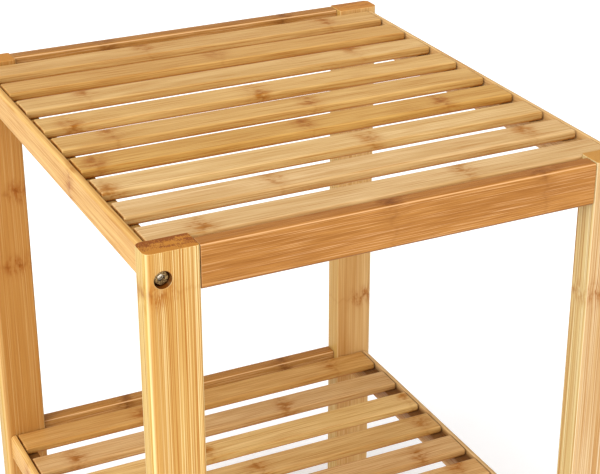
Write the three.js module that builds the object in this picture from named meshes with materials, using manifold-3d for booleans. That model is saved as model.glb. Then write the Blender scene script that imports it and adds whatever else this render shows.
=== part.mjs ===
// A two-tier bamboo shower stool: a slatted seat and a slatted shelf bolted between four legs.
//
// Millimetres, +Z up, the front is towards -Y. The origin is on the floor under the middle of the stool.
// Both tiers are the same frame at two heights: a front and a back rail dowelled into the legs, two
// rebated side rails bolted between the front and back legs, and nine slats lying on the rebates.

import * as THREE from "three";
import { mergeVertices } from "three/addons/utils/BufferGeometryUtils.js";
import Module from "manifold-3d";

const wasm = await Module();
wasm.setup();

// Overall size
const WIDTH = 330;
const DEPTH = 364;
const HEIGHT = 450;
const TIER_SPACING = 309;
const FIT_GAP = 0.3;

// Legs: boards on edge, with the wide face to the front and soft outer corners
const LEG_WIDTH = 33;
const LEG_THICKNESS = 18;
const LEG_OUTER_RADIUS = 4.5;
const LEG_INNER_RADIUS = 1.6;

// Front and back rails, measured from the leg tops
const CROSS_RAIL_HEIGHT = 28;
const CROSS_RAIL_THICKNESS = 12;
const CROSS_RAIL_SETBACK = 0.4;
const CROSS_RAIL_DROP = 0.3;
const CROSS_RAIL_EDGE_RADIUS = 2.2;

// Side rails: a lip outside and a lower ledge inside, which carries the slat ends
const SIDE_RAIL_SETBACK = 4;
const SIDE_RAIL_WIDTH = 15;
const SIDE_RAIL_TOP_DROP = 3;
const SIDE_RAIL_BOTTOM_DROP = 23.4;
const SIDE_RAIL_LIP = 4.4;
const SIDE_RAIL_OUTER_RADIUS = 3;
const SIDE_RAIL_EDGE_RADIUS = 0.9;
const LEDGE_TOP_DROP = 9.1;

// Slats: evenly spaced between the legs, each then shifted a little, as fitted by hand, from front to back
const SLAT_WIDTH = 24.8;
const SLAT_THICKNESS = 6.4;
const SLAT_EDGE_RADIUS = 2.4;
const SLAT_LEG_GAP = 0.7;
const SLAT_LIP_GAP = 1;
const SLAT_SHIFTS = [-0.3, 0.2, 0.7, 0.4, 0.2, -0.5, 0.9, 0.7, 0.3];

// Bolts through the legs into barrel nuts in the side rails
const BOLT_INSET = 10.5;
const BOLT_DROP = 17;
const BOLT_HEAD_RADIUS = 4.9;
const BOLT_HEAD_HEIGHT = 3;
const BOLT_HEAD_RECESS = 3.2;
const BOLT_HEAD_CHAMFER = 0.7;
const BOLT_SHANK_RADIUS = 3;
const BOLT_SHANK_LENGTH = 38;
const BOLT_TIP_CHAMFER = 1;
const COUNTERBORE_RADIUS = 5.4;
const BOLT_HOLE_RADIUS = 3.35;
const SOCKET_ACROSS_FLATS = 4;
const SOCKET_DEPTH = 2.6;
const NUT_RADIUS = 4.5;
const NUT_LENGTH = 10.4;
const NUT_HOLE_RADIUS = 4.75;
const NUT_SETBACK = 16;
const NUT_RECESS = 0.6;
const NUT_SLOT_WIDTH = 1.2;
const NUT_SLOT_DEPTH = 0.9;

// Dowels between the cross rails and the legs
const DOWEL_RADIUS = 3;
const DOWEL_LENGTH = 24;
const DOWEL_HOLE_RADIUS = 3.3;
const DOWEL_END_CHAMFER = 0.6;
const DOWEL_SEGMENTS = 16;

// Push-in rubber feet
const FOOT_THICKNESS = 3;
const FOOT_MARGIN = 1.5;
const FOOT_CORNER_RADIUS = 3;
const PLUG_RADIUS = 3;
const PLUG_LENGTH = 10;
const PLUG_HOLE_RADIUS = 3.3;

const CORNER_SEGMENTS = 2;
const HOLE_SEGMENTS = 16;
const HEAD_SEGMENTS = 24;
const OVERCUT = 1;

const bamboo = (color) => new THREE.MeshStandardMaterial({ color, roughness: 0.55, metalness: 0 });
const LEG_MATERIAL = bamboo("#e6b470");
const CROSS_RAIL_MATERIAL = bamboo("#cf9657");
const SIDE_RAIL_MATERIAL = bamboo("#efc083");
const SLAT_MATERIAL = bamboo("#dcae74");
const DOWEL_MATERIAL = bamboo("#d8b98c");
const BOLT_MATERIAL = new THREE.MeshStandardMaterial({ color: "#6e5c44", roughness: 0.35, metalness: 0.9 });
const NUT_MATERIAL = new THREE.MeshStandardMaterial({ color: "#b9b6ac", roughness: 0.4, metalness: 0.9 });
const RUBBER_MATERIAL = new THREE.MeshStandardMaterial({ color: "#3b3834", roughness: 0.85, metalness: 0 });

// Geometry helpers

// A rectangle with its own radius at each corner: [low left, low right, high right, high left].
function roundedRectangle(x0, y0, x1, y1, [lowLeft, lowRight, highRight, highLeft]) {
  const shape = new THREE.Shape();
  shape.moveTo(x0 + lowLeft, y0);
  shape.lineTo(x1 - lowRight, y0);
  shape.absarc(x1 - lowRight, y0 + lowRight, lowRight, -Math.PI / 2, 0, false);
  shape.lineTo(x1, y1 - highRight);
  shape.absarc(x1 - highRight, y1 - highRight, highRight, 0, Math.PI / 2, false);
  shape.lineTo(x0 + highLeft, y1);
  shape.absarc(x0 + highLeft, y1 - highLeft, highLeft, Math.PI / 2, Math.PI, false);
  shape.lineTo(x0, y0 + lowLeft);
  shape.absarc(x0 + lowLeft, y0 + lowLeft, lowLeft, Math.PI, 1.5 * Math.PI, false);
  return shape;
}

// A prism of the shape, standing on z = 0.
function prism(shape, length) {
  const options = { depth: length, bevelEnabled: false, curveSegments: CORNER_SEGMENTS };
  return new THREE.ExtrudeGeometry(shape, options);
}

// Lays a section drawn in Y and Z along X, centred on x = 0.
function prismAlongX(section, length) {
  const basis = new THREE.Matrix4().makeBasis(
    new THREE.Vector3(0, 1, 0),
    new THREE.Vector3(0, 0, 1),
    new THREE.Vector3(1, 0, 0),
  );
  return prism(section, length).translate(0, 0, -length / 2).applyMatrix4(basis);
}

// Lays a section drawn in X and Z along Y, centred on y = 0.
function prismAlongY(section, length) {
  const basis = new THREE.Matrix4().makeBasis(
    new THREE.Vector3(1, 0, 0),
    new THREE.Vector3(0, 0, 1),
    new THREE.Vector3(0, -1, 0),
  );
  return prism(section, length).translate(0, 0, -length / 2).applyMatrix4(basis);
}

// A round bar between two distances along an axis, through the point given by the other two coordinates.
function bar(axis, radius, from, to, at, segments = HOLE_SEGMENTS) {
  const geometry = new THREE.CylinderGeometry(radius, radius, Math.abs(to - from), segments);
  const middle = (from + to) / 2;
  if (axis === "x") return geometry.rotateZ(Math.PI / 2).translate(middle, at[0], at[1]);
  if (axis === "y") return geometry.translate(at[0], middle, at[1]);
  return geometry.rotateX(Math.PI / 2).translate(at[0], at[1], middle);
}

// A turned piece along Y, from a profile of [radius, y] points that starts and ends on the axis.
function turned(profile, segments) {
  return new THREE.LatheGeometry(profile.map(([radius, y]) => new THREE.Vector2(radius, y)), segments);
}

function toSolid(geometry) {
  const bare = geometry.clone();
  bare.deleteAttribute("normal");
  bare.deleteAttribute("uv");
  const merged = mergeVertices(bare);
  const corners = [];
  for (let i = 0; i < merged.index.count; i += 3) {
    const [a, b, c] = [0, 1, 2].map((k) => merged.index.getX(i + k));
    if (a !== b && b !== c && c !== a) corners.push(a, b, c);
  }
  const vertProperties = new Float32Array(merged.attributes.position.array);
  const triVerts = new Uint32Array(corners);
  return new wasm.Manifold(new wasm.Mesh({ numProp: 3, vertProperties, triVerts }));
}

function toGeometry(solid) {
  const { vertProperties, triVerts } = solid.getMesh();
  const geometry = new THREE.BufferGeometry();
  geometry.setAttribute("position", new THREE.BufferAttribute(new Float32Array(vertProperties), 3));
  geometry.setIndex(new THREE.BufferAttribute(new Uint32Array(triVerts), 1));
  geometry.computeVertexNormals();
  return geometry;
}

// The body with every tool cut out of it.
function cut(body, tools) {
  let solid = toSolid(body);
  for (const tool of tools) solid = solid.subtract(toSolid(tool));
  return toGeometry(solid);
}

function join(first, second) {
  return toGeometry(toSolid(first).add(toSolid(second)));
}

function piece(name, geometry, material, x, y, z) {
  const mesh = new THREE.Mesh(geometry, material);
  mesh.name = name;
  mesh.position.set(x, y, z);
  return mesh;
}

// The four corners of the footprint: side is -1 on the left, end is -1 at the front.
const CORNERS = [
  { name: "front_left", side: -1, end: -1 },
  { name: "front_right", side: 1, end: -1 },
  { name: "back_left", side: -1, end: 1 },
  { name: "back_right", side: 1, end: 1 },
];

const LEG_X = (WIDTH - LEG_WIDTH) / 2;
const LEG_Y = (DEPTH - LEG_THICKNESS) / 2;
const CROSS_RAIL_Y = DEPTH / 2 - CROSS_RAIL_SETBACK - CROSS_RAIL_THICKNESS / 2;
const CROSS_RAIL_MIDDLE_DROP = CROSS_RAIL_DROP + CROSS_RAIL_HEIGHT / 2;
const CROSS_RAIL_LENGTH = WIDTH - 2 * LEG_WIDTH - 2 * FIT_GAP;
const SIDE_RAIL_X = WIDTH / 2 - SIDE_RAIL_SETBACK - SIDE_RAIL_WIDTH / 2;
const SIDE_RAIL_LENGTH = DEPTH - 2 * LEG_THICKNESS - 2 * FIT_GAP;
const BOLT_X = WIDTH / 2 - BOLT_INSET;
const TIER_LEVELS = [HEIGHT, HEIGHT - TIER_SPACING];

// Swaps a list of four corner radii for a piece mirrored in X, in Y or in both.
function mirrorCorners([lowLeft, lowRight, highRight, highLeft], flipX, flipY) {
  let radii = [lowLeft, lowRight, highRight, highLeft];
  if (flipX) radii = [radii[1], radii[0], radii[3], radii[2]];
  if (flipY) radii = [radii[3], radii[2], radii[1], radii[0]];
  return radii;
}

// Legs

function legBlank({ side, end }) {
  const radii = [LEG_OUTER_RADIUS, LEG_INNER_RADIUS, LEG_INNER_RADIUS, LEG_OUTER_RADIUS];
  const halfWidth = LEG_WIDTH / 2;
  const halfThickness = LEG_THICKNESS / 2;
  const corners = mirrorCorners(radii, side > 0, end > 0);
  const outline = roundedRectangle(-halfWidth, -halfThickness, halfWidth, halfThickness, corners);
  return prism(outline, HEIGHT - FOOT_THICKNESS - FIT_GAP);
}

// Holes for one tier's bolt and dowel, in the leg's own frame, for a tier whose leg-top plane is at level.
function legTierHoles({ side, end }, level) {
  const boltX = side * (LEG_WIDTH / 2 - BOLT_INSET);
  const boltZ = level - BOLT_DROP;
  const outerFace = (end * LEG_THICKNESS) / 2;
  const counterboreEnd = outerFace - end * (BOLT_HEAD_RECESS + BOLT_HEAD_HEIGHT + FIT_GAP);
  const beyondOuter = outerFace + end * OVERCUT;
  const beyondInner = -outerFace - end * OVERCUT;
  const innerSide = (-side * LEG_WIDTH) / 2;
  const dowelEnd = innerSide + side * (DOWEL_LENGTH / 2 + FIT_GAP);
  const dowelY = end * (CROSS_RAIL_Y - LEG_Y);
  const dowelZ = level - CROSS_RAIL_MIDDLE_DROP;
  return [
    bar("y", COUNTERBORE_RADIUS, beyondOuter, counterboreEnd, [boltX, boltZ], HEAD_SEGMENTS),
    bar("y", BOLT_HOLE_RADIUS, beyondOuter, beyondInner, [boltX, boltZ]),
    bar("x", DOWEL_HOLE_RADIUS, innerSide - side * OVERCUT, dowelEnd, [dowelY, dowelZ]),
  ];
}

function leg(corner) {
  const bottom = FOOT_THICKNESS + FIT_GAP;
  const plugHole = bar("z", PLUG_HOLE_RADIUS, -OVERCUT, PLUG_LENGTH + FIT_GAP, [0, 0]);
  const tierHoles = TIER_LEVELS.flatMap((level) => legTierHoles(corner, level - bottom));
  const geometry = cut(legBlank(corner), [plugHole, ...tierHoles]);
  return piece(`leg_${corner.name}`, geometry, LEG_MATERIAL, corner.side * LEG_X, corner.end * LEG_Y, bottom);
}

function footPad(corner) {
  const halfWidth = LEG_WIDTH / 2 - FOOT_MARGIN;
  const halfThickness = LEG_THICKNESS / 2 - FOOT_MARGIN;
  const radii = Array(4).fill(FOOT_CORNER_RADIUS);
  const outline = roundedRectangle(-halfWidth, -halfThickness, halfWidth, halfThickness, radii);
  const pad = prism(outline, FOOT_THICKNESS);
  const plug = bar("z", PLUG_RADIUS, FOOT_THICKNESS / 2, FOOT_THICKNESS + PLUG_LENGTH, [0, 0]);
  const name = `foot_pad_${corner.name}`;
  return piece(name, join(pad, plug), RUBBER_MATERIAL, corner.side * LEG_X, corner.end * LEG_Y, 0);
}

// One tier, built downwards from the plane of the leg tops

function crossRail(name, end) {
  const half = CROSS_RAIL_THICKNESS / 2;
  const radii = Array(4).fill(CROSS_RAIL_EDGE_RADIUS);
  const section = roundedRectangle(-half, -CROSS_RAIL_HEIGHT / 2, half, CROSS_RAIL_HEIGHT / 2, radii);
  const board = prismAlongX(section, CROSS_RAIL_LENGTH);
  const holes = [-1, 1].map((side) => {
    const face = (side * CROSS_RAIL_LENGTH) / 2;
    const bottomOfHole = face - side * (DOWEL_LENGTH / 2 + FIT_GAP);
    return bar("x", DOWEL_HOLE_RADIUS, face + side * OVERCUT, bottomOfHole, [0, 0]);
  });
  return piece(name, cut(board, holes), CROSS_RAIL_MATERIAL, 0, end * CROSS_RAIL_Y, -CROSS_RAIL_MIDDLE_DROP);
}

// The rail's section in X and Z, with x measured outwards from the middle of its width.
function sideRailSection(side) {
  const halfWidth = SIDE_RAIL_WIDTH / 2;
  const lipInside = halfWidth - SIDE_RAIL_LIP;
  const radius = SIDE_RAIL_EDGE_RADIUS;
  const round = SIDE_RAIL_OUTER_RADIUS;
  const shape = new THREE.Shape();
  shape.moveTo(-halfWidth, -SIDE_RAIL_BOTTOM_DROP + radius);
  shape.absarc(-halfWidth + radius, -SIDE_RAIL_BOTTOM_DROP + radius, radius, Math.PI, 1.5 * Math.PI, false);
  shape.lineTo(halfWidth - radius, -SIDE_RAIL_BOTTOM_DROP);
  shape.absarc(halfWidth - radius, -SIDE_RAIL_BOTTOM_DROP + radius, radius, -Math.PI / 2, 0, false);
  shape.lineTo(halfWidth, -SIDE_RAIL_TOP_DROP - round);
  shape.absarc(halfWidth - round, -SIDE_RAIL_TOP_DROP - round, round, 0, Math.PI / 2, false);
  shape.lineTo(lipInside, -SIDE_RAIL_TOP_DROP);
  shape.lineTo(lipInside, -LEDGE_TOP_DROP);
  shape.lineTo(-halfWidth, -LEDGE_TOP_DROP);
  shape.closePath();
  if (side > 0) return shape;
  const outline = shape.extractPoints(CORNER_SEGMENTS).shape;
  return new THREE.Shape(outline.map((point) => new THREE.Vector2(-point.x, point.y)));
}

function sideRail(name, side) {
  const board = prismAlongY(sideRailSection(side), SIDE_RAIL_LENGTH);
  const boltX = side * (BOLT_X - SIDE_RAIL_X);
  const nutTop = -SIDE_RAIL_BOTTOM_DROP + NUT_RECESS + NUT_LENGTH + FIT_GAP;
  const holes = [-1, 1].flatMap((end) => {
    const face = (end * SIDE_RAIL_LENGTH) / 2;
    const boltTip = end * (DEPTH / 2 - BOLT_HEAD_RECESS - BOLT_HEAD_HEIGHT - BOLT_SHANK_LENGTH - FIT_GAP);
    const nutY = end * (DEPTH / 2 - LEG_THICKNESS - NUT_SETBACK);
    return [
      bar("y", BOLT_HOLE_RADIUS, face + end * OVERCUT, boltTip, [boltX, -BOLT_DROP]),
      bar("z", NUT_HOLE_RADIUS, -SIDE_RAIL_BOTTOM_DROP - OVERCUT, nutTop, [boltX, nutY]),
    ];
  });
  return piece(name, cut(board, holes), SIDE_RAIL_MATERIAL, side * SIDE_RAIL_X, 0, 0);
}

// The shelf is the seat's frame turned end for end, so its slats' shifts run the other way.
function slatShifts(turned) {
  return turned ? SLAT_SHIFTS.map((shift) => -shift).reverse() : SLAT_SHIFTS;
}

function slats(tierName, turned) {
  const half = SLAT_WIDTH / 2;
  const halfThickness = SLAT_THICKNESS / 2;
  const length = WIDTH - 2 * (SIDE_RAIL_SETBACK + SIDE_RAIL_LIP + SLAT_LIP_GAP);
  const radii = Array(4).fill(SLAT_EDGE_RADIUS);
  const section = roundedRectangle(-half, -halfThickness, half, halfThickness, radii);
  const span = DEPTH - 2 * (LEG_THICKNESS + SLAT_LEG_GAP) - SLAT_WIDTH;
  const z = -LEDGE_TOP_DROP + FIT_GAP + halfThickness;
  const pitch = span / (SLAT_SHIFTS.length - 1);
  return slatShifts(turned).map((shift, i) => {
    const y = -span / 2 + pitch * i + shift;
    return piece(`${tierName}_slat_${i + 1}`, prismAlongX(section, length), SLAT_MATERIAL, 0, y, z);
  });
}

// A socket-head bolt along +Y, with the top of its head at y = 0.
function boltGeometry() {
  const tip = BOLT_HEAD_HEIGHT + BOLT_SHANK_LENGTH;
  const body = turned(
    [
      [0, 0],
      [BOLT_HEAD_RADIUS - BOLT_HEAD_CHAMFER, 0],
      [BOLT_HEAD_RADIUS, BOLT_HEAD_CHAMFER],
      [BOLT_HEAD_RADIUS, BOLT_HEAD_HEIGHT],
      [BOLT_SHANK_RADIUS, BOLT_HEAD_HEIGHT],
      [BOLT_SHANK_RADIUS, tip - BOLT_TIP_CHAMFER],
      [BOLT_SHANK_RADIUS - BOLT_TIP_CHAMFER, tip],
      [0, tip],
    ],
    HEAD_SEGMENTS,
  );
  const socketRadius = SOCKET_ACROSS_FLATS / Math.sqrt(3);
  return cut(body, [bar("y", socketRadius, -OVERCUT, SOCKET_DEPTH, [0, 0], 6)]);
}

function bolt(name, { side, end }) {
  const headY = end * (DEPTH / 2 - BOLT_HEAD_RECESS);
  const mesh = piece(name, boltGeometry(), BOLT_MATERIAL, side * BOLT_X, headY, -BOLT_DROP);
  if (end > 0) mesh.rotation.z = Math.PI;
  return mesh;
}

// A barrel nut standing in the underside of a side rail, with a screwdriver slot below.
function barrelNut(name, { side, end }) {
  const bottom = -SIDE_RAIL_BOTTOM_DROP + NUT_RECESS;
  const body = bar("z", NUT_RADIUS, 0, NUT_LENGTH, [0, 0], HEAD_SEGMENTS);
  const crossZ = -BOLT_DROP - bottom;
  const cross = bar("y", BOLT_SHANK_RADIUS + FIT_GAP, -2 * NUT_RADIUS, 2 * NUT_RADIUS, [0, crossZ]);
  const slot = new THREE.BoxGeometry(NUT_SLOT_WIDTH, 3 * NUT_RADIUS, 2 * NUT_SLOT_DEPTH);
  const y = end * (DEPTH / 2 - LEG_THICKNESS - NUT_SETBACK);
  return piece(name, cut(body, [cross, slot]), NUT_MATERIAL, side * BOLT_X, y, bottom);
}

function dowel(name, { side, end }) {
  const half = DOWEL_LENGTH / 2;
  const profile = [
    [0, -half],
    [DOWEL_RADIUS - DOWEL_END_CHAMFER, -half],
    [DOWEL_RADIUS, -half + DOWEL_END_CHAMFER],
    [DOWEL_RADIUS, half - DOWEL_END_CHAMFER],
    [DOWEL_RADIUS - DOWEL_END_CHAMFER, half],
    [0, half],
  ];
  const x = side * (WIDTH / 2 - LEG_WIDTH);
  const geometry = turned(profile, DOWEL_SEGMENTS);
  const mesh = piece(name, geometry, DOWEL_MATERIAL, x, end * CROSS_RAIL_Y, -CROSS_RAIL_MIDDLE_DROP);
  mesh.rotation.z = Math.PI / 2;
  return mesh;
}

function tier(name, level, turned) {
  const group = new THREE.Group();
  group.position.z = level;
  group.add(crossRail(`${name}_front_rail`, -1), crossRail(`${name}_back_rail`, 1));
  group.add(sideRail(`${name}_left_rail`, -1), sideRail(`${name}_right_rail`, 1));
  group.add(...slats(name, turned));
  for (const corner of CORNERS) {
    group.add(bolt(`${name}_bolt_${corner.name}`, corner));
    group.add(barrelNut(`${name}_barrel_nut_${corner.name}`, corner));
    group.add(dowel(`${name}_dowel_${corner.name}`, corner));
  }
  return group;
}

const stool = new THREE.Group();
for (const corner of CORNERS) stool.add(leg(corner), footPad(corner));
stool.add(tier("seat", TIER_LEVELS[0], false), tier("shelf", TIER_LEVELS[1], true));

export default stool;
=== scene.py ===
import math

import bmesh
import bpy
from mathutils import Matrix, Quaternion, Vector


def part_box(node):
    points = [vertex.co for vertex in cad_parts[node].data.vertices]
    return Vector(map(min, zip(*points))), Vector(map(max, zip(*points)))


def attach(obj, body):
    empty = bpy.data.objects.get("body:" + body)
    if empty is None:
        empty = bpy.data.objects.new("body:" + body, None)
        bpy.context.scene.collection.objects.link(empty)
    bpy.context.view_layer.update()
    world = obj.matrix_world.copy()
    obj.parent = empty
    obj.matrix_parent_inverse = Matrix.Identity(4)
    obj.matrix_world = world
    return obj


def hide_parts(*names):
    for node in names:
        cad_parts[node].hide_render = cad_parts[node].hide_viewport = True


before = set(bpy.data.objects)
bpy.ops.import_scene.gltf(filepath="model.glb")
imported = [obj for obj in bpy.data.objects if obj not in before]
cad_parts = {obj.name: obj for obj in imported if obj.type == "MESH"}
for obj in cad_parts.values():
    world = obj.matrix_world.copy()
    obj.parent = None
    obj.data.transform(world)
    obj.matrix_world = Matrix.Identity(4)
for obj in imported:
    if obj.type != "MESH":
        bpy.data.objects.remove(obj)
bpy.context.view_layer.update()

# A two-tier bamboo shower stool: laminated bamboo boards, bronzed socket-head bolts and rubber feet.
# Everything is in metres, in the row's frame: +Z up, the front towards -Y, the floor at z = 0.
# Only the patterns of the materials are worked out in mm.

MM = 0.001
WHITE = (1.0, 1.0, 1.0, 1.0)
TIERS = ("seat", "shelf")
CORNERS = ("front_left", "front_right", "back_left", "back_right")
SLATS_PER_TIER = 9

# How far sharp edges are eased
BOARD_EASE = 0.5 * MM
SLAT_EASE = 1.3 * MM
BOLT_EASE = 0.3 * MM
NUT_EASE = 0.15 * MM
RUBBER_EASE = 0.6 * MM
EASE_SEGMENTS = 2
SHARP_ANGLE = math.radians(32)
FLAT_ANGLE = math.radians(1.5)
SAME_PLACE = 0.001 * MM
NORMAL_WEIGHT = 90

# Painted shade on the side rails' ledges under the slats: how far the ledges are below the top, and where the
# painted shade ends at the bottom
LEDGE_DEPTH = 6.1 * MM
LEDGE_SHADE_END = 6.1 * MM
LEDGE_SHADE_MARGIN = 1 * MM
LEDGE_SHADE = {"seat": 0.3, "shelf": 0.85}

# Painted shade, partly the walls' own stain, on the walls of the counterbores in the legs
COUNTERBORE_SHADE = 0.85
COUNTERBORE_DEPTH = 7 * MM
COUNTERBORE_RIM = 0.2 * MM
COUNTERBORE_MARGIN = 1 * MM

# The hex sockets of the bolts, which get painted shade on their walls and a painted glint on their floors
SOCKET_RADIUS = 2.7 * MM
SOCKET_RIM = 1.5 * MM

# The depth of the relief in each surface, and how much knuckles rise and dark lines sink in it
WOOD_RELIEF = 0.05 * MM
KNUCKLE_RISE = 0.5
LINE_SINK = 0.6
BRONZE_RELIEF = 0.03 * MM
ZINC_RELIEF = 0.02 * MM
RUBBER_RELIEF = 0.05 * MM

# How much light the thin lacquer throws back, how rough it is, and how much rougher on dark lines
SATIN = 0.12
LACQUER_ROUGHNESS = (0.37, 0.47)
LINE_ROUGHNESS = 0.14

# The camera stands at the front left, above the seat
CAMERA_PLACE = Vector((-0.4305, -0.9242, 0.8311))
CAMERA_YAW = math.radians(25.83)
CAMERA_PITCH = math.radians(-25.26)
CAMERA_ROLL = math.radians(-0.09)
CAMERA_LENS_MM = 96.65
CAMERA_NEAR = 0.05
SENSOR_MM = 36

# How bright the room's walls are, and how much the floor glows
ROOM_LEFT = 0.88
ROOM_RIGHT = 0.48
FLOOR_SIZE = 12.0
FLOOR_GLOW = 0.16
FLOOR_ROUGHNESS = 0.9


# Node trees


class Nodes:
    """Builds a node tree; a value given to a socket is either a number or another socket."""

    def __init__(self, tree):
        self.tree = tree

    def put(self, socket, value):
        if isinstance(value, bpy.types.NodeSocket):
            self.tree.links.new(value, socket)
        else:
            socket.default_value = value

    def node(self, kind, inputs=(), **settings):
        node = self.tree.nodes.new(kind)
        for key, value in settings.items():
            setattr(node, key, value)
        for key, value in dict(inputs).items():
            self.put(node.inputs[key], value)
        return node

    def math(self, operation, *values, clamp=False):
        node = self.node("ShaderNodeMath", dict(enumerate(values)), operation=operation, use_clamp=clamp)
        return node.outputs[0]

    def add(self, first, second):
        return self.math("ADD", first, second)

    def subtract(self, first, second):
        return self.math("SUBTRACT", first, second)

    def multiply(self, first, second, clamp=False):
        return self.math("MULTIPLY", first, second, clamp=clamp)

    def multiply_add(self, first, second, third):
        return self.math("MULTIPLY_ADD", first, second, third)

    def between(self, share, span):
        """The number that is a share of the way from one end of a span to the other."""
        return self.multiply_add(share, span[1] - span[0], span[0])

    def scale(self, value, span, to_span=(0.0, 1.0)):
        """value mapped smoothly from one span to another, and held beyond its ends."""
        inputs = {"Value": value, "From Min": span[0], "From Max": span[1]}
        inputs |= {"To Min": to_span[0], "To Max": to_span[1]}
        return self.node("ShaderNodeMapRange", inputs, interpolation_type="SMOOTHSTEP").outputs["Result"]

    def vector(self, x, y, z):
        return self.node("ShaderNodeCombineXYZ", {"X": x, "Y": y, "Z": z}).outputs[0]

    def split(self, vector):
        return self.node("ShaderNodeSeparateXYZ", {0: vector}).outputs

    def place(self):
        """Where a point is on its piece, in metres."""
        return self.node("ShaderNodeTexCoord").outputs["Object"]

    def noise(self, place, sizes, detail=2.0, roughness=0.5):
        """Noise at place, given as three numbers, whose features are about as large as sizes."""
        stretched = self.vector(*[self.math("DIVIDE", value, size) for value, size in zip(place, sizes)])
        inputs = {"Vector": stretched, "Scale": 1.0, "Detail": detail, "Roughness": roughness}
        return self.node("ShaderNodeTexNoise", inputs, noise_dimensions="3D").outputs["Fac"]

    def mix(self, factor, first, second, blend="MIX"):
        node = self.node("ShaderNodeMix", data_type="RGBA", blend_type=blend)
        sockets = {socket.name: socket for socket in node.inputs if socket.enabled}
        for key, value in {"Factor": factor, "A": first, "B": second}.items():
            self.put(sockets[key], value)
        return next(socket for socket in node.outputs if socket.enabled)

    def tinted(self, base, tint):
        return self.mix(1.0, base, tint, blend="MULTIPLY")

    def layer(self, base, cover, strength, tone):
        """base with the tone mixed in where cover is 1, as strongly as strength says."""
        return self.mix(self.multiply(cover, strength, clamp=True), base, tone)

    def attribute(self, name):
        return self.node("ShaderNodeAttribute", attribute_name=name, attribute_type="GEOMETRY").outputs

    def bump(self, height, distance):
        return self.node("ShaderNodeBump", {"Height": height, "Distance": distance}).outputs["Normal"]

    def surface(self, **inputs):
        """Ends a material's tree; the underscores in the inputs' names stand for spaces."""
        named = {key.replace("_", " "): value for key, value in inputs.items()}
        shader = self.node("ShaderNodeBsdfPrincipled", named)
        self.node("ShaderNodeOutputMaterial", {"Surface": shader.outputs[0]})


def new_material(name):
    material = bpy.data.materials.new(name)
    material.use_nodes = True
    material.node_tree.nodes.clear()
    return material, Nodes(material.node_tree)


def linear(value):
    """The linear value of a display value from 0 to 255."""
    share = value / 255
    return share / 12.92 if share <= 0.04045 else ((share + 0.055) / 1.055) ** 2.4


def colour(red, green, blue):
    return (linear(red), linear(green), linear(blue), 1.0)


# Bamboo: lengths in mm, cosines from none to all of an effect, and strengths from 0 to 1

# How far a board's seed moves the pattern across the grain, and how many times further along it
SEED_STEP = 37.7
SEED_RUN = 11.3

# Knuckles: how far their line wanders, and in square mm how wide their stain, band and line are
KNUCKLE_WANDER = 10.0
KNUCKLE_WANDER_SIZES = (4.0, 4.0, 40.0)
KNUCKLE_REACH = 120.0
KNUCKLE_BAND = 55.0
KNUCKLE_LINE = 1.5
KNUCKLE_SWELL = 0.8
BLOTCH_SIZES = (9.0, 5.0, 5.0)
BLOTCH_SPAN = (0.38, 0.62)
MOTTLE_BETWEEN_LINES = (0.6, 1.3)
STAIN_STRENGTHS = (0.25, 1.4)
KNUCKLE_LINE_STRENGTH = 0.3
KNUCKLE_RING_STRENGTH = 0.16

# Laminated strips
CLOUD_SIZES = (120.0, 8.0, 8.0)
CLOUD_SPAN = (0.3, 0.7)
GLUE_WIDTH = 0.15
GLUE_STRENGTH = 0.3

# Lines along the grain: the spans of noise they cover, and how short and thin the broken ones are
DARK_LINE_SPAN = (0.5, 0.7)
PALE_LINE_SPAN = (0.3, 0.46)
BROKEN_LINE_SPAN = (0.5, 0.66)
BROKEN_LENGTH = 0.4
BROKEN_WIDTH = 0.75
DARK_LINE_STRENGTH = 0.7
PALE_LINE_STRENGTH = 0.7
BROKEN_LINE_STRENGTH = 0.45

# End grain: dots per mm, the size of the clouds of dots, and how much they drift to the back face
DOTS_PER_MM = 1.4
DOT_CLOUD_SIZES = (14.0, 7.0, 1.0)
DOT_DRIFT = 0.017
DOT_CLOUD_SPAN = (0.38, 0.64)
DOT_RADII = (0.16, 0.8)
DOT_EDGE = (-0.08, 0.1)
DOT_STRENGTH = 0.9
DOT_DARKNESS = 0.6
PITH_BROWN = (0.1, 0.8)

# Which way a surface looks: the cosines between which an effect grows from none to all
ROUNDED_COSINES = (0.74, 0.9)
FACE_COSINES = (0.55, 0.9)
END_COSINES = (0.72, 0.85)
UNDERSIDE_COSINES = (0.02, 0.55)
SOCKET_FLOOR_COSINES = (0.7, 0.95)
# How strongly the surfaces that look down are darkened as painted shade
UNDERSIDE_SHADE = 0.85


def board_coordinates(nodes, axes):
    """(along, across, through) in mm from the middle of the board, for an order of axes such as "XYZ"."""
    inputs = {0: nodes.place(), 1: nodes.attribute("middle")["Vector"]}
    parts = nodes.split(nodes.node("ShaderNodeVectorMath", inputs, operation="SUBTRACT").outputs[0])
    return [nodes.multiply(parts[axis], 1 / MM) for axis in axes]


def bell(nodes, distance, spread):
    """1 at no distance, and falling off over a spread in square mm."""
    squared = nodes.multiply(distance, distance)
    return nodes.math("EXPONENT", nodes.math("DIVIDE", squared, -spread))


def knuckle_bands(nodes, run, side, through, along, across):
    """How near a point is to a knuckle: a stained band over part of the width, and its thin middle line."""
    wobble = nodes.noise((side, through, run), KNUCKLE_WANDER_SIZES)
    lean = nodes.multiply(nodes.subtract(wobble, 0.5), KNUCKLE_WANDER)
    places = nodes.split(nodes.attribute("knuckles")["Vector"])
    sides = nodes.split(nodes.attribute("knuckle_sides")["Vector"])
    wide, thin = 0.0, 0.0
    for place, middle in zip(places, sides):
        offset = nodes.add(nodes.subtract(along, place), lean)
        reach = bell(nodes, nodes.subtract(across, middle), KNUCKLE_REACH)
        wide = nodes.multiply_add(bell(nodes, offset, KNUCKLE_BAND), reach, wide)
        thin = nodes.add(thin, bell(nodes, offset, KNUCKLE_LINE))
    return wide, thin


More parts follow.
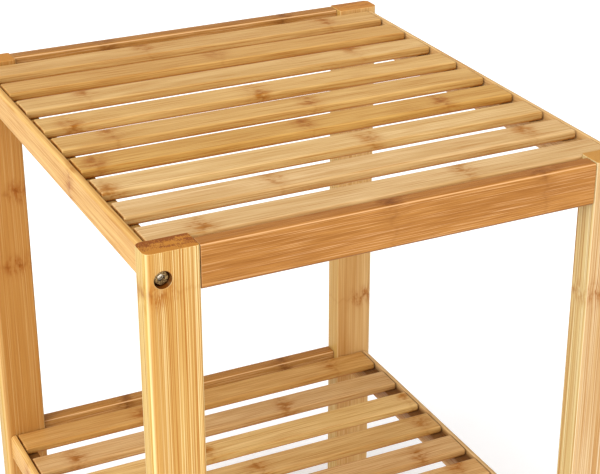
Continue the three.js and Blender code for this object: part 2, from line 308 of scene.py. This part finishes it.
def strip_tone(nodes, across, seed, width):
    """A random tone from 0 to 1 for each laminated strip, and how near a point is to a glue line."""
    position = nodes.math("DIVIDE", nodes.add(across, seed), width)
    index = nodes.math("FLOOR", position)
    tone = nodes.node("ShaderNodeTexWhiteNoise", {"W": index}, noise_dimensions="1D").outputs["Value"]
    from_middle = nodes.math("ABSOLUTE", nodes.subtract(nodes.subtract(position, index), 0.5))
    return tone, nodes.scale(from_middle, (0.5 - GLUE_WIDTH / width, 0.5))


def outward(nodes):
    return nodes.split(nodes.node("ShaderNodeNewGeometry").outputs["Normal"])


def facing(nodes, axis, cosines):
    """1 where the surface looks along an axis, either way, and 0 below the lower cosine."""
    return nodes.scale(nodes.math("ABSOLUTE", outward(nodes)[axis]), cosines)


def underneath(nodes):
    """1 where the surface looks down, where the wood is darkened as painted shade."""
    return nodes.scale(nodes.multiply(outward(nodes)["Z"], -1.0), UNDERSIDE_COSINES)


def rounded_edge(nodes, axes):
    """1 along the rounded edges that run with the grain, where neither face is flat, for the painted
    highlight.
    """
    flat = [facing(nodes, axis, ROUNDED_COSINES) for axis in axes[1:]]
    return nodes.subtract(1.0, nodes.math("MAXIMUM", *flat))


def tint_faces(nodes, base, faces):
    """Multiplies in the tint of the faces that look along each axis."""
    for axis, tint in faces.items():
        base = nodes.tinted(base, nodes.mix(facing(nodes, axis, FACE_COSINES), WHITE, (*tint, 1.0)))
    return base


def end_grain_colour(nodes, side, through, tone, tints):
    """Tan pith in strips of its own tone, with the dark dots of cut fibres crowded towards the back face.

    Boards cut from the stem's inner wall have few fibres: they are paler, with hardly a dot.
    """
    pale, middle, brown, dark = tints[1:]
    fibres = nodes.attribute("fibres")["Fac"]
    cells = {"Vector": nodes.vector(side, through, 0.0), "Scale": DOTS_PER_MM}
    distance = nodes.node("ShaderNodeTexVoronoi", cells, feature="F1").outputs["Distance"]
    cloud = nodes.noise((side, through, 0.0), DOT_CLOUD_SIZES, detail=1.0)
    radius = nodes.scale(nodes.multiply_add(through, DOT_DRIFT, cloud), DOT_CLOUD_SPAN, DOT_RADII)
    dotted = nodes.scale(nodes.subtract(radius, distance), DOT_EDGE)
    tan = nodes.mix(nodes.between(tone, PITH_BROWN), middle, brown)
    pith = nodes.mix(fibres, pale, tan)
    dots = nodes.multiply(dotted, DOT_STRENGTH)
    return nodes.layer(pith, dots, fibres, nodes.mix(DOT_DARKNESS, brown, dark))


def fibre_lines(nodes, grain, length, width):
    """Dark and pale lines along the grain, each from 0 to 1, and finer broken ones between them."""
    broad = nodes.noise(grain, (length, width, width), detail=1.0, roughness=0.55)
    finer = width * BROKEN_WIDTH
    broken = nodes.noise(grain, (length * BROKEN_LENGTH, finer, finer), detail=0.0)
    pale_lines = nodes.subtract(1.0, nodes.scale(broad, PALE_LINE_SPAN))
    return nodes.scale(broad, DARK_LINE_SPAN), pale_lines, nodes.scale(broken, BROKEN_LINE_SPAN)


def stain_knuckles(nodes, base, grain, knuckle, broken, tints):
    """Mottled brown bands at the knuckles, with a darker line in each and a faint ring right across."""
    brown, dark = tints[3:]
    wide, thin = knuckle
    blotch = nodes.scale(nodes.noise(grain, BLOTCH_SIZES, detail=3.0, roughness=0.6), BLOTCH_SPAN)
    mottle = nodes.multiply(blotch, nodes.between(broken, MOTTLE_BETWEEN_LINES))
    base = nodes.layer(base, wide, nodes.between(mottle, STAIN_STRENGTHS), brown)
    line = nodes.multiply(nodes.multiply(thin, wide), blotch)
    base = nodes.layer(base, line, KNUCKLE_LINE_STRENGTH, dark)
    return nodes.layer(base, thin, KNUCKLE_RING_STRENGTH, brown)


def bamboo(name, axes, tints, strip, fibre, faces=(), edge_highlight=0.0):
    """Lacquered laminated bamboo with its grain along the first of axes.

    tints are the cream, pale, middle, brown and dark colours. strip is the laminations' width and contrast.
    fibre is the lines' length, width and strength. faces holds a tint for the faces that look along an axis.
    The last argument is how strongly a painted highlight lightens the rounded edges.
    """
    cream, pale, middle, brown, dark = tints
    strip_width, strip_contrast = strip
    fibre_length, fibre_width, fibre_strength = fibre
    material, nodes = new_material(name)
    along, across, through = board_coordinates(nodes, axes)
    seed = nodes.multiply(nodes.attribute("seed")["Fac"], SEED_STEP)
    run = nodes.add(along, nodes.multiply(seed, SEED_RUN))
    side = nodes.add(across, seed)
    wide, thin = knuckle_bands(nodes, run, side, through, along, across)
    grain = (run, nodes.multiply_add(wide, KNUCKLE_SWELL, side), through)

    tone, glue = strip_tone(nodes, across, seed, strip_width)
    clouds = nodes.noise(grain, CLOUD_SIZES, detail=3.0)
    drift = nodes.multiply(nodes.subtract(tone, 0.5), strip_contrast)
    base = nodes.mix(nodes.scale(nodes.add(clouds, drift), CLOUD_SPAN), middle, pale)

    dark_lines, pale_lines, broken = fibre_lines(nodes, grain, fibre_length, fibre_width)
    base = nodes.layer(base, pale_lines, fibre_strength * PALE_LINE_STRENGTH, cream)
    dark_lines = nodes.multiply(dark_lines, DARK_LINE_STRENGTH)
    lines = nodes.multiply_add(broken, BROKEN_LINE_STRENGTH, dark_lines)
    base = nodes.layer(base, lines, fibre_strength, brown)
    base = stain_knuckles(nodes, base, grain, (wide, thin), broken, tints)
    base = nodes.layer(base, glue, GLUE_STRENGTH, brown)

    # A painted highlight in cream along the rounded edges
    if edge_highlight:
        base = nodes.layer(base, rounded_edge(nodes, axes), edge_highlight, cream)
    end_colour = end_grain_colour(nodes, side, through, tone, tints)
    base = nodes.mix(facing(nodes, axes[0], END_COSINES), base, end_colour)
    # Face tints; on the slats' fronts and backs they are painted shade, on the legs' sides partly painted
    # light
    base = tint_faces(nodes, base, dict(faces))
    # Painted shade on the surfaces that look down
    base = nodes.layer(base, underneath(nodes), UNDERSIDE_SHADE, brown)
    # Painted shade darkens the counterbores and the ledges under the slats
    base = nodes.mix(nodes.attribute("painted_shading")["Fac"], base, dark)
    base = nodes.tinted(base, nodes.attribute("tint")["Color"])

    height = nodes.subtract(nodes.multiply(wide, KNUCKLE_RISE), nodes.multiply(lines, LINE_SINK))
    rough = nodes.multiply_add(lines, LINE_ROUGHNESS, nodes.between(clouds, LACQUER_ROUGHNESS))
    normal = nodes.bump(height, WOOD_RELIEF)
    nodes.surface(Base_Color=base, Roughness=rough, Normal=normal, Specular_IOR_Level=SATIN)
    return material


# Pieces


def soft_copy(node, name, ease):
    """A copy of a CAD node with its facets merged, its sharp edges eased and smooth shading."""
    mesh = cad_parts[node].data.copy()
    mesh.name = name
    mesh.materials.clear()
    work = bmesh.new()
    work.from_mesh(mesh)
    bmesh.ops.remove_doubles(work, verts=work.verts, dist=SAME_PLACE)
    bmesh.ops.dissolve_limit(work, angle_limit=FLAT_ANGLE, verts=work.verts, edges=work.edges)
    sharp = [edge for edge in work.edges if edge.is_manifold and edge.calc_face_angle() > SHARP_ANGLE]
    rounding = {"offset": ease, "offset_type": "OFFSET", "segments": EASE_SEGMENTS, "profile": 0.5}
    bmesh.ops.bevel(work, geom=sharp, affect="EDGES", **rounding)
    for face in work.faces:
        face.smooth = True
    work.to_mesh(mesh)
    work.free()
    for attribute in [layer for layer in mesh.attributes if layer.name.startswith("custom_normal")]:
        mesh.attributes.remove(attribute)
    piece = bpy.data.objects.new(name, mesh)
    bpy.context.scene.collection.objects.link(piece)
    weighted = piece.modifiers.new("even_normals", "WEIGHTED_NORMAL")
    weighted.mode = "FACE_AREA"
    weighted.weight = NORMAL_WEIGHT
    return piece


def adopt(piece, node, slot, material):
    """Puts the piece in a CAD node's place, with its finish."""
    piece.data.materials.append(material)
    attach(piece, "root")
    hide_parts(node)


# A knuckle that a board doesn't have lies far beyond its end
NO_KNUCKLE = (9000.0, 0.0)
KNUCKLES_PER_BOARD = 3


def write_attribute(mesh, name, kind, field, values):
    """Stores the same values on every point of a mesh."""
    layer = mesh.attributes.new(name=name, type=kind, domain="POINT")
    layer.data.foreach_set(field, list(values) * len(mesh.vertices))


def write_painted_shading(mesh, painted_shading):
    """Stores how much painted shading each point has, which the given function tells from its place."""
    layer = mesh.attributes.new(name="painted_shading", type="FLOAT", domain="POINT")
    layer.data.foreach_set("value", [painted_shading(vertex.co) for vertex in mesh.vertices])


def no_painted_shading(place):
    return 0.0


def board(node, slot, material, seed, tint, knuckles, ease=BOARD_EASE, painted_shading=no_painted_shading, fibres=1.0):
    """A bamboo board with what its material reads: middle, seed, tint, knuckles, fibres and painted shading.
    """
    piece = soft_copy(node, f"bamboo_{node}", ease)
    low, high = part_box(node)
    along, across = zip(*[*knuckles, *[NO_KNUCKLE] * KNUCKLES_PER_BOARD][:KNUCKLES_PER_BOARD])
    write_attribute(piece.data, "middle", "FLOAT_VECTOR", "vector", (low + high) / 2)
    write_attribute(piece.data, "knuckles", "FLOAT_VECTOR", "vector", along)
    write_attribute(piece.data, "knuckle_sides", "FLOAT_VECTOR", "vector", across)
    write_attribute(piece.data, "tint", "FLOAT_COLOR", "color", [*tint, 1.0])
    write_attribute(piece.data, "seed", "FLOAT", "value", [seed])
    write_attribute(piece.data, "fibres", "FLOAT", "value", [fibres])
    write_painted_shading(piece.data, painted_shading)
    adopt(piece, node, slot, material)


# Knuckles of each seat slat as (along, across) in mm from its middle, from the front slat to the back one
SEAT_KNUCKLES = (
    ((55.0, 1.0), (-120.0, -4.0)),
    ((-55.0, 4.0), (125.0, 3.0)),
    ((-150.0, -8.0), (28.0, -1.0)),
    ((-143.0, -2.0), (2.0, 3.0), (104.0, -1.0)),
    ((23.0, 1.0), (-118.0, 4.0)),
    ((-136.0, -8.0), (0.0, -9.0)),
    ((-109.0, 8.0), (100.0, 8.0)),
    ((5.0, 8.0),),
    ((-37.0, 6.0), (112.0, 2.0)),
)
# The tone of each slat, from the front one to the back one
SEAT_TINTS = (
    (1.01, 1.1, 1.25),
    (1.04, 1.14, 1.3),
    (1.07, 1.19, 1.3),
    (0.89, 0.83, 0.55),
    (0.96, 0.96, 0.8),
    (0.98, 1.0, 0.88),
    (1.0, 1.05, 1.02),
    (0.91, 0.86, 0.66),
    (0.94, 0.94, 0.86),
)
SHELF_TINTS = (
    (1.0, 1.0, 0.95),
    (0.95, 0.92, 0.85),
    (1.02, 1.04, 1.0),
    (0.97, 0.95, 0.9),
    (0.94, 0.95, 0.98),
    (0.96, 0.98, 0.9),
    (1.1, 1.2, 1.15),
    (0.93, 0.95, 1.0),
    (0.93, 0.87, 0.68),
)
SHELF_SLAT_SEED = 20


def build_slats(material):
    """The shelf's slats have their knuckles as on the seat's, turned end for end."""
    for number in range(1, SLATS_PER_TIER + 1):
        seat_tint, shelf_tint = SEAT_TINTS[number - 1], SHELF_TINTS[number - 1]
        knuckles = SEAT_KNUCKLES[number - 1]
        board(f"seat_slat_{number}", "bamboo_slat", material, number, seat_tint, knuckles, SLAT_EASE)
        turned = [(-along, -across) for along, across in SEAT_KNUCKLES[-number]]
        seed = SHELF_SLAT_SEED + number
        board(f"shelf_slat_{number}", "bamboo_slat", material, seed, shelf_tint, turned, SLAT_EASE)


def below_ledge(node):
    """Marks the ledge of a side rail and what is under its slats with painted shade from the slats."""
    low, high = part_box(node)
    bottom, top = low.z + LEDGE_SHADE_END, high.z - LEDGE_DEPTH + LEDGE_SHADE_MARGIN
    ledge_shade = LEDGE_SHADE[node.split("_")[0]]
    return lambda place: ledge_shade if bottom < place.z < top else 0.0


def from_axis(place, middle):
    """How far a place is from a bolt's middle line."""
    return math.hypot(place.x - middle.x, place.z - middle.z)


def in_socket(node):
    """Marks the inside of a bolt's hex socket, for its painted shade and painted glint."""
    low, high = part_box(node)
    middle = (low + high) / 2
    face = low.y if middle.y < 0 else high.y

    def painted_shading(place):
        inside = from_axis(place, middle) < SOCKET_RADIUS and abs(place.y - face) > SOCKET_RIM
        return 1.0 if inside else 0.0

    return painted_shading


def in_counterbore(corner):
    """Marks the walls of a leg's two counterbores, which are darkened as painted shade, partly their own
    stain.
    """
    heads = [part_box(f"{tier}_bolt_{corner}") for tier in TIERS]
    front = corner.startswith("front")
    leg_low, leg_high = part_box(f"leg_{corner}")
    face = leg_low.y if front else leg_high.y

    def painted_shading(place):
        depth = place.y - face if front else face - place.y
        for low, high in heads:
            radius = (high.x - low.x) / 2 + COUNTERBORE_MARGIN
            inside = from_axis(place, (low + high) / 2) < radius
            if inside and COUNTERBORE_RIM < depth < COUNTERBORE_DEPTH:
                return COUNTERBORE_SHADE
        return 0.0

    return painted_shading


# Each rail's seed, tone and knuckles as (along, across) in mm from its middle
CROSS_RAILS = {
    "front": (41, (0.95, 0.97, 1.06), ((-10.0, 19.0), (95.0, 21.0))),
    "back": (45, (0.94, 1.05, 1.25), ((-60.0, 8.0), (85.0, 8.0))),
}
SIDE_RAILS = {
    "left": (51, (0.93, 0.91, 0.85), ((-40.0, 0.0), (120.0, -4.0))),
    "right": (55, (0.94, 1.0, 1.28), ((50.0, 0.0), (120.0, -4.0))),
}


def build_rails(cross, side):
    for count, tier in enumerate(TIERS):
        for end, (seed, tint, knuckles) in CROSS_RAILS.items():
            board(f"{tier}_{end}_rail", "bamboo_cross_rail", cross, seed + count, tint, knuckles)
        for hand, (seed, tint, knuckles) in SIDE_RAILS.items():
            node = f"{tier}_{hand}_rail"
            # The ledge under the slats gets painted shade
            ledge_shade = below_ledge(node)
            board(node, "bamboo_side_rail", side, seed + count, tint, knuckles, painted_shading=ledge_shade)


# Each leg's seed, tone, knuckles as (along, across) in mm from its middle, and how dense its fibres are
LEGS = {
    "front_left": (61, (0.98, 1.03, 1.02), ((198.0, -9.5), (-60.0, 6.0)), 1.0),
    "front_right": (62, (0.86, 0.9, 1.16), ((131.0, -8.0), (-120.0, 6.0)), 0.1),
    "back_left": (63, (0.77, 0.67, 0.56), ((60.0, 4.0), (120.0, 10.0)), 0.0),
    "back_right": (64, (0.9, 0.86, 0.87), ((-35.0, 8.0), (115.0, 8.0)), 0.45),
}


def build_legs(striped, plain):
    """The front legs show the edges of their strips and the back legs the strips' faces."""
    for corner, (seed, tint, knuckles, fibres) in LEGS.items():
        material = striped if corner.startswith("front") else plain
        marks = {"painted_shading": in_counterbore(corner), "fibres": fibres}
        board(f"leg_{corner}", "bamboo_leg", material, seed, tint, knuckles, **marks)


# Hardware


# How rough each finish is, and the span of noise over which the bronze wears off
BRONZE_ROUGHNESS = (0.16, 0.36)
ZINC_ROUGHNESS = (0.3, 0.45)
RUBBER_ROUGHNESS = (0.7, 0.9)
DOWEL_ROUGHNESS = (0.2, 1.2)
BRONZE_WEAR_SPAN = (0.42, 0.66)
DOWEL_FIBRE_SIZES = (14.0, 0.5, 0.5)


def in_millimetres(nodes):
    inputs = {0: nodes.place(), 1: (1 / MM, 1 / MM, 1 / MM)}
    return nodes.node("ShaderNodeVectorMath", inputs, operation="MULTIPLY").outputs[0]


def bronze():
    """Worn bronze plating; inside the sockets, painted shade darkens the walls and a painted glint lightens
    the floors that face out.
    """
    material, nodes = new_material("antique_bronze")
    patches = {"Vector": in_millimetres(nodes), "Scale": 1.3, "Detail": 4.0}
    wear = nodes.node("ShaderNodeTexNoise", patches).outputs["Fac"]
    tone = nodes.mix(nodes.scale(wear, BRONZE_WEAR_SPAN), colour(84, 64, 40), colour(168, 138, 92))
    # Painted glint on the socket floors and painted shade on the socket walls
    socket_glint = facing(nodes, "Y", SOCKET_FLOOR_COSINES)
    socket = nodes.mix(socket_glint, colour(62, 48, 32), colour(240, 228, 206))
    tone = nodes.mix(nodes.attribute("painted_shading")["Fac"], tone, socket)
    rough = nodes.between(wear, BRONZE_ROUGHNESS)
    normal = nodes.bump(wear, BRONZE_RELIEF)
    nodes.surface(Base_Color=tone, Roughness=rough, Metallic=1.0, Normal=normal)
    return material


def zinc():
    material, nodes = new_material("zinc_plate")
    grains = {"Vector": in_millimetres(nodes), "Scale": 1.1}
    spangle = nodes.node("ShaderNodeTexVoronoi", grains).outputs["Color"]
    grey = nodes.split(spangle)[0]
    tone = nodes.mix(grey, colour(176, 174, 168), colour(206, 204, 198))
    rough = nodes.between(grey, ZINC_ROUGHNESS)
    normal = nodes.bump(grey, ZINC_RELIEF)
    nodes.surface(Base_Color=tone, Roughness=rough, Metallic=1.0, Normal=normal)
    return material


def rubber():
    material, nodes = new_material("foot_rubber")
    grit = {"Vector": in_millimetres(nodes), "Scale": 2.4, "Detail": 3.0}
    speckle = nodes.node("ShaderNodeTexNoise", grit).outputs["Fac"]
    tone = nodes.mix(speckle, colour(38, 36, 34), colour(66, 63, 60))
    rough = nodes.between(speckle, RUBBER_ROUGHNESS)
    nodes.surface(Base_Color=tone, Roughness=rough, Normal=nodes.bump(speckle, RUBBER_RELIEF))
    return material


def turned_wood():
    material, nodes = new_material("turned_dowel")
    grain = [nodes.multiply(part, 1 / MM) for part in nodes.split(nodes.place())]
    fibre = nodes.noise(grain, DOWEL_FIBRE_SIZES)
    tone = nodes.mix(fibre, colour(222, 188, 140), colour(186, 142, 92))
    rough = nodes.between(fibre, DOWEL_ROUGHNESS)
    nodes.surface(Base_Color=tone, Roughness=rough, Normal=nodes.bump(fibre, WOOD_RELIEF))
    return material


def build_hardware():
    """The bolts, nuts and feet; the dowels are the CAD's own, with a finish."""
    bolt_finish, nut_finish, foot_finish, dowel_finish = bronze(), zinc(), rubber(), turned_wood()
    for corner in CORNERS:
        foot = soft_copy(f"foot_pad_{corner}", f"rubber_foot_{corner}", RUBBER_EASE)
        adopt(foot, f"foot_pad_{corner}", "rubber_foot", foot_finish)
        for tier in TIERS:
            bolt = soft_copy(f"{tier}_bolt_{corner}", f"{tier}_bronze_bolt_{corner}", BOLT_EASE)
            # Painted shade and painted glint inside the hex socket
            write_painted_shading(bolt.data, in_socket(f"{tier}_bolt_{corner}"))
            adopt(bolt, f"{tier}_bolt_{corner}", "bronzed_bolt", bolt_finish)
            nut = soft_copy(f"{tier}_barrel_nut_{corner}", f"{tier}_zinc_nut_{corner}", NUT_EASE)
            adopt(nut, f"{tier}_barrel_nut_{corner}", "zinc_nut", nut_finish)
            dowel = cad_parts[f"{tier}_dowel_{corner}"].data
            dowel.materials.clear()
            dowel.materials.append(dowel_finish)


# Studio


def light_room(world):
    """White walls all round that light the stool more from the left, and look as white as the floor."""
    nodes = Nodes(world.node_tree)
    across = nodes.split(nodes.node("ShaderNodeTexCoord").outputs["Generated"])["X"]
    sides = {"Value": across, "From Min": -1.0, "To Min": ROOM_LEFT, "To Max": ROOM_RIGHT}
    level = nodes.node("ShaderNodeMapRange", sides).outputs["Result"]
    seen = nodes.node("ShaderNodeLightPath").outputs["Is Camera Ray"]
    background = world.node_tree.nodes["Background"]
    nodes.put(background.inputs["Color"], WHITE)
    nodes.put(background.inputs["Strength"], nodes.math("MAXIMUM", level, seen))


def build_stage():
    material, nodes = new_material("studio_floor")
    patches = {"Vector": nodes.place(), "Scale": 3.0, "Detail": 3.0}
    cloud = nodes.node("ShaderNodeTexNoise", patches).outputs["Fac"]
    tone = nodes.mix(cloud, (0.955, 0.955, 0.955, 1.0), (0.97, 0.97, 0.97, 1.0))
    glow = {"Emission_Color": WHITE, "Emission_Strength": FLOOR_GLOW}
    nodes.surface(Base_Color=tone, Roughness=FLOOR_ROUGHNESS, **glow)
    bpy.ops.mesh.primitive_plane_add(size=FLOOR_SIZE, location=(0.0, 0.0, 0.0))
    floor = bpy.context.object
    floor.name = "studio_floor"
    floor.data.materials.append(material)
    world = bpy.data.worlds.new("studio")
    bpy.context.scene.world = world
    world.use_nodes = True
    light_room(world)


def soft_sun(name, towards, strength, spread):
    """A wide even light from the direction of towards, over a spread in degrees.

    Its strength is what it adds to a white wall facing it.
    """
    lamp = bpy.data.lights.new(name, "SUN")
    lamp.energy = strength * math.pi
    lamp.angle = math.radians(spread)
    sun = bpy.data.objects.new(name, lamp)
    bpy.context.scene.collection.objects.link(sun)
    sun.rotation_euler = Vector(towards).to_track_quat("Z", "Y").to_euler()


def build_lights():
    soft_sun("key_left", towards=(-0.62, -0.45, 0.64), strength=0.87, spread=56.0)
    soft_sun("front_fill", towards=(0.35, -0.8, 0.5), strength=0.15, spread=60.0)


def build_camera():
    data = bpy.data.cameras.new("camera")
    data.lens = CAMERA_LENS_MM
    data.sensor_width = SENSOR_MM
    data.clip_start = CAMERA_NEAR
    camera = bpy.data.objects.new("camera", data)
    bpy.context.scene.collection.objects.link(camera)
    camera.location = CAMERA_PLACE
    forward = Vector((math.sin(CAMERA_YAW), math.cos(CAMERA_YAW), 0.0)) * math.cos(CAMERA_PITCH)
    forward.z = math.sin(CAMERA_PITCH)
    aim = forward.to_track_quat("-Z", "Y").to_matrix()
    roll_axis = aim @ Vector((0.0, 0.0, 1.0))
    camera.rotation_mode = "QUATERNION"
    camera.rotation_quaternion = Quaternion(roll_axis, CAMERA_ROLL) @ aim.to_quaternion()
    bpy.context.scene.camera = camera


# The stool


def shades(*tones):
    """A board's cream, pale, middle, brown and dark colours."""
    return [colour(*tone) for tone in tones]


LEG_SHADES = shades((247, 225, 172), (213, 172, 106), (199, 150, 81), (166, 100, 32), (104, 46, 8))
CROSS_SHADES = shades((229, 178, 122), (185, 126, 58), (169, 110, 46), (132, 76, 24), (84, 44, 10))
SIDE_SHADES = shades((233, 199, 131), (217, 172, 103), (203, 155, 85), (170, 110, 44), (94, 48, 12))
SLAT_SHADES = shades((223, 184, 128), (209, 167, 111), (193, 148, 89), (160, 96, 26), (106, 56, 12))

CROSS_FACES = {"Z": (0.9, 0.82, 0.66)}
# The legs' sides (X) are paler, partly their strips' own colour and partly painted light; their end grain
# tops (Z) are browner
LEG_FACES = {"X": (1.02, 1.18, 1.14), "Z": (0.91, 0.68, 0.3)}
# The slats' fronts and backs (Y) are darkened as painted shade from the neighbouring slats; their ends (X)
# are darker too
SLAT_FACES = {"X": (0.8, 0.72, 0.6), "Y": (0.8, 0.75, 0.64)}

# Each kind of board's strips as (width, contrast), fibres as (length, width, strength), face tints, and the
# strength of the painted highlight on its rounded edges
STRIPED_LEG = ((5.2, 0.7), (260.0, 0.7, 0.85), LEG_FACES, 0.4)
PLAIN_LEG = ((17.0, 0.9), (140.0, 0.9, 0.35), LEG_FACES, 0.4)
CROSS_RAIL = ((28.0, 0.2), (42.0, 0.45, 0.65), CROSS_FACES, 0.85)
SIDE_RAIL = ((6.4, 0.2), (70.0, 0.8, 0.6), {}, 0.35)
SLAT = ((60.0, 0.1), (60.0, 0.8, 0.6), SLAT_FACES)

build_camera()
striped_leg_bamboo = bamboo("leg_bamboo", "ZXY", LEG_SHADES, *STRIPED_LEG)
plain_leg_bamboo = bamboo("back_leg_bamboo", "ZXY", LEG_SHADES, *PLAIN_LEG)
cross_bamboo = bamboo("cross_rail_bamboo", "XZY", CROSS_SHADES, *CROSS_RAIL)
side_bamboo = bamboo("side_rail_bamboo", "YZX", SIDE_SHADES, *SIDE_RAIL)
slat_bamboo = bamboo("slat_bamboo", "XYZ", SLAT_SHADES, *SLAT)
build_legs(striped_leg_bamboo, plain_leg_bamboo)
build_rails(cross_bamboo, side_bamboo)
build_slats(slat_bamboo)
build_hardware()
build_stage()
build_lights()
bpy.context.scene.view_settings.view_transform = "Standard"
